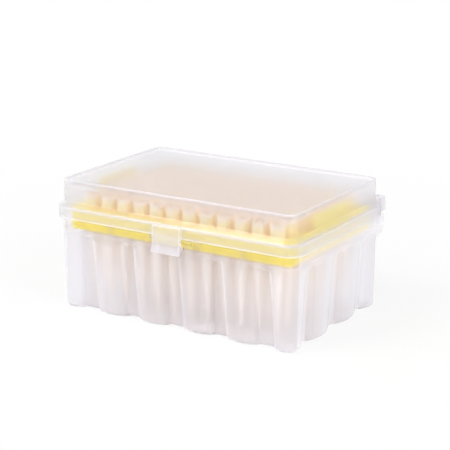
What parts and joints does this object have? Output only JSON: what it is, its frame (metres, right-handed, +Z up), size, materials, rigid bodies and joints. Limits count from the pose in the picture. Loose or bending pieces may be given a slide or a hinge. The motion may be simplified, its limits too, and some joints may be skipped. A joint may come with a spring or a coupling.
{
  "type": "pipette tip box",
  "caption": "Hinged translucent box with fluted walls, a front latch and a lift-out rack filled with pipette tips.",
  "frame": {"origin": "middle of the base's footprint, on the face it stands on", "axes": "+X along the box, +Z up, -Y is the side with the latch"},
  "size_m": [0.1298, 0.094, 0.0622],
  "materials": {
    "clear_plastic": "semi-gloss, translucent",
    "rack_plastic": "semi-gloss",
    "tip_plastic": "semi-gloss, translucent"
  },
  "bodies": {
    "box": {"base": "clear_plastic", "rack": "rack_plastic", "tips_column_1": "tip_plastic", "tips_column_2": "tip_plastic", "tips_column_3": "tip_plastic", "tips_column_4": "tip_plastic", "tips_column_5": "tip_plastic", "tips_column_6": "tip_plastic", "tips_column_7": "tip_plastic", "tips_column_8": "tip_plastic", "tips_column_9": "tip_plastic", "tips_column_10": "tip_plastic", "tips_column_11": "tip_plastic", "tips_column_12": "tip_plastic"},
    "lid": {"lid": "clear_plastic"}
  },
  "joints": [
    {"name": "lid_hinge", "type": "hinge", "parent": "box", "child": "lid", "pos_m": [0, 0.045, 0.0416], "axis": [-1, 0, 0], "range_deg": [0, 110]}
  ]
}
